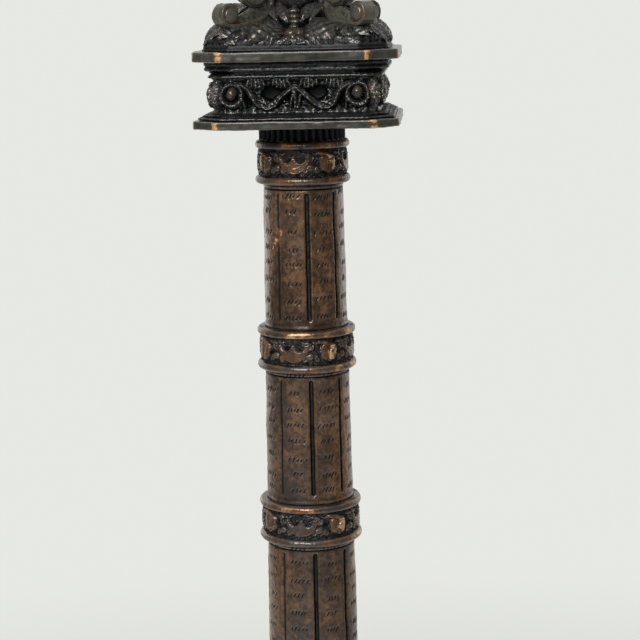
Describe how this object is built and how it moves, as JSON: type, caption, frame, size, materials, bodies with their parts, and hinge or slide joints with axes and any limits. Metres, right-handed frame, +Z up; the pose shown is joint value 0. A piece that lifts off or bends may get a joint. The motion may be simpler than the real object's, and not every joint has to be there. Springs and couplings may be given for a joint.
{
  "type": "paschal candlestick",
  "caption": "Tall cast-bronze candlestick: paw feet, square footed base, banded round stem, square capital with scrolls, candle socket and a lift-off drip pan.",
  "frame": {"origin": "on the floor under the candlestick's middle", "axes": "+Z up the stem, -Y towards the viewer of the front face"},
  "size_m": [0.296, 0.296, 1.1769],
  "materials": {
    "dark_bronze": "near-black brown patina with rubbed brass on the edges",
    "stem_bronze": "dark red-brown patina with rubbed copper patches",
    "rubbed_bronze": "brown patina, rubbed brighter where it is handled",
    "iron": "dull forged iron"
  },
  "bodies": {
    "candlestick": {"paw_foot_front_right": "dark_bronze", "paw_foot_back_right": "dark_bronze", "paw_foot_back_left": "dark_bronze", "paw_foot_front_left": "dark_bronze", "foot_screw_front_right": "iron", "foot_screw_back_right": "iron", "foot_screw_back_left": "iron", "foot_screw_front_left": "iron", "base_plate": "dark_bronze", "base_panel_front": "dark_bronze", "base_hill_front": "dark_bronze", "base_panel_right": "dark_bronze", "base_hill_right": "dark_bronze", "base_panel_back": "dark_bronze", "base_hill_back": "dark_bronze", "base_panel_left": "dark_bronze", "base_hill_left": "dark_bronze", "base_top_plate": "dark_bronze", "base_scroll_front_right": "dark_bronze", "base_scroll_back_right": "dark_bronze", "base_scroll_back_left": "dark_bronze", "base_scroll_front_left": "dark_bronze", "base_knop": "rubbed_bronze", "stem_band_1": "stem_bronze", "stem_tube_1": "stem_bronze", "stem_band_2": "stem_bronze", "stem_tube_2": "stem_bronze", "stem_band_3": "stem_bronze", "stem_tube_3": "stem_bronze", "stem_band_4": "stem_bronze", "stem_tube_4": "stem_bronze", "stem_band_5": "stem_bronze", "stem_tube_5": "stem_bronze", "stem_band_6": "stem_bronze", "fluted_neck": "dark_bronze", "capital_plate": "dark_bronze", "capital_frieze": "dark_bronze", "capital_top_plate": "dark_bronze", "crown_hill": "dark_bronze", "crown_scroll_front_right": "dark_bronze", "crown_scroll_back_right": "dark_bronze", "crown_scroll_back_left": "dark_bronze", "crown_scroll_front_left": "dark_bronze", "crown_vase": "rubbed_bronze", "candle_socket": "rubbed_bronze", "tie_rod": "iron", "base_washer": "iron", "base_nut": "iron"},
    "drip_pan": {"drip_pan": "rubbed_bronze"}
  },
  "joints": [
    {"name": "pan_lift", "type": "slide", "parent": "candlestick", "child": "drip_pan", "axis": [0, 0, 1], "range_m": [0, 0.075]}
  ]
}
